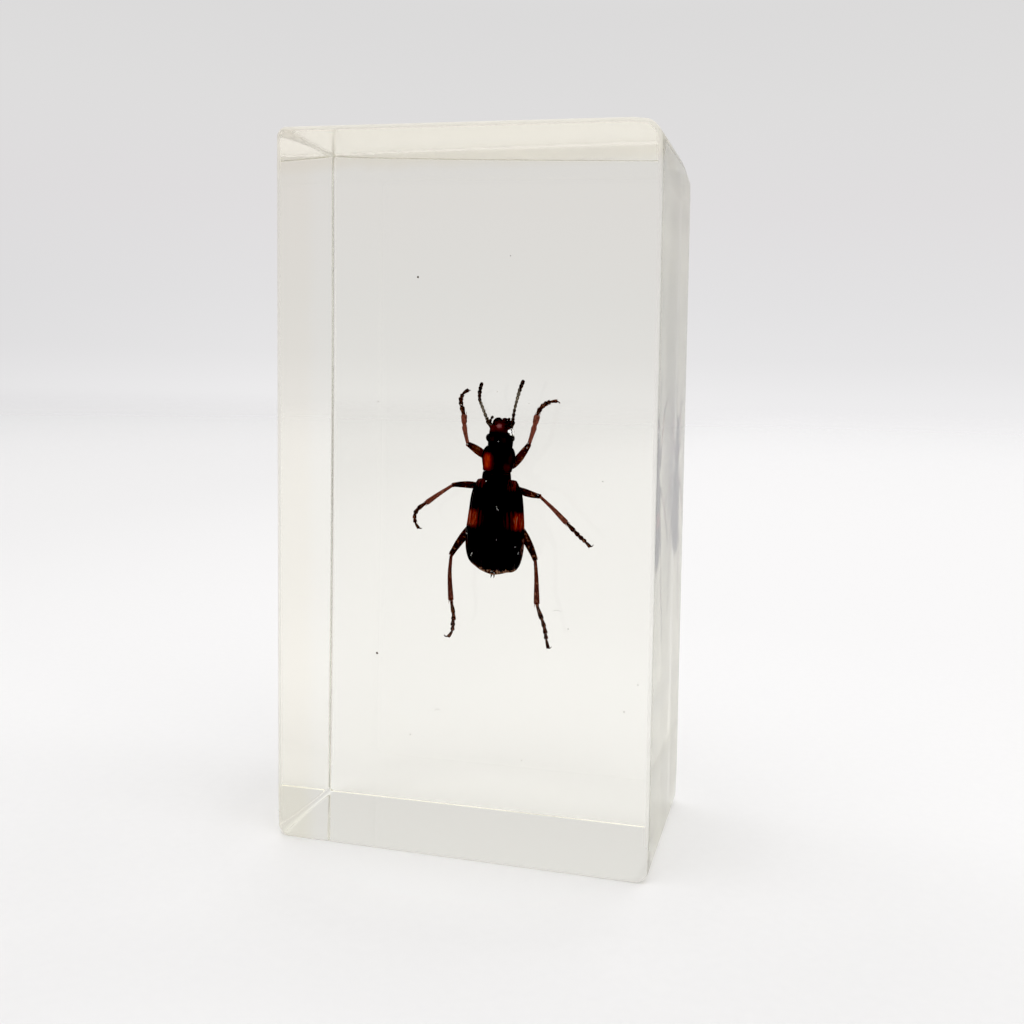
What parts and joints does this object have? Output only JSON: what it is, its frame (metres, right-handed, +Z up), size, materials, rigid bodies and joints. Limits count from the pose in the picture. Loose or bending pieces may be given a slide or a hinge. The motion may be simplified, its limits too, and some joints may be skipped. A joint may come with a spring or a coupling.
{
  "type": "insect in resin block",
  "caption": "Upright clear cast-resin block with hand-rounded edges and a beetle specimen sealed in the middle, a desk paperweight.",
  "frame": {"origin": "middle of the bottom face, on the surface that the block stands on", "axes": "+Z up along the block's length, +Y from the front face, through which the beetle's back is seen, to the rear face"},
  "size_m": [0.0405, 0.024, 0.0746],
  "materials": {
    "clear_resin": "water-clear cast resin, polished, with a faint yellow tint along the rounded edges"
  },
  "bodies": {
    "root": {"resin_block": "clear_resin"}
  },
  "joints": []
}
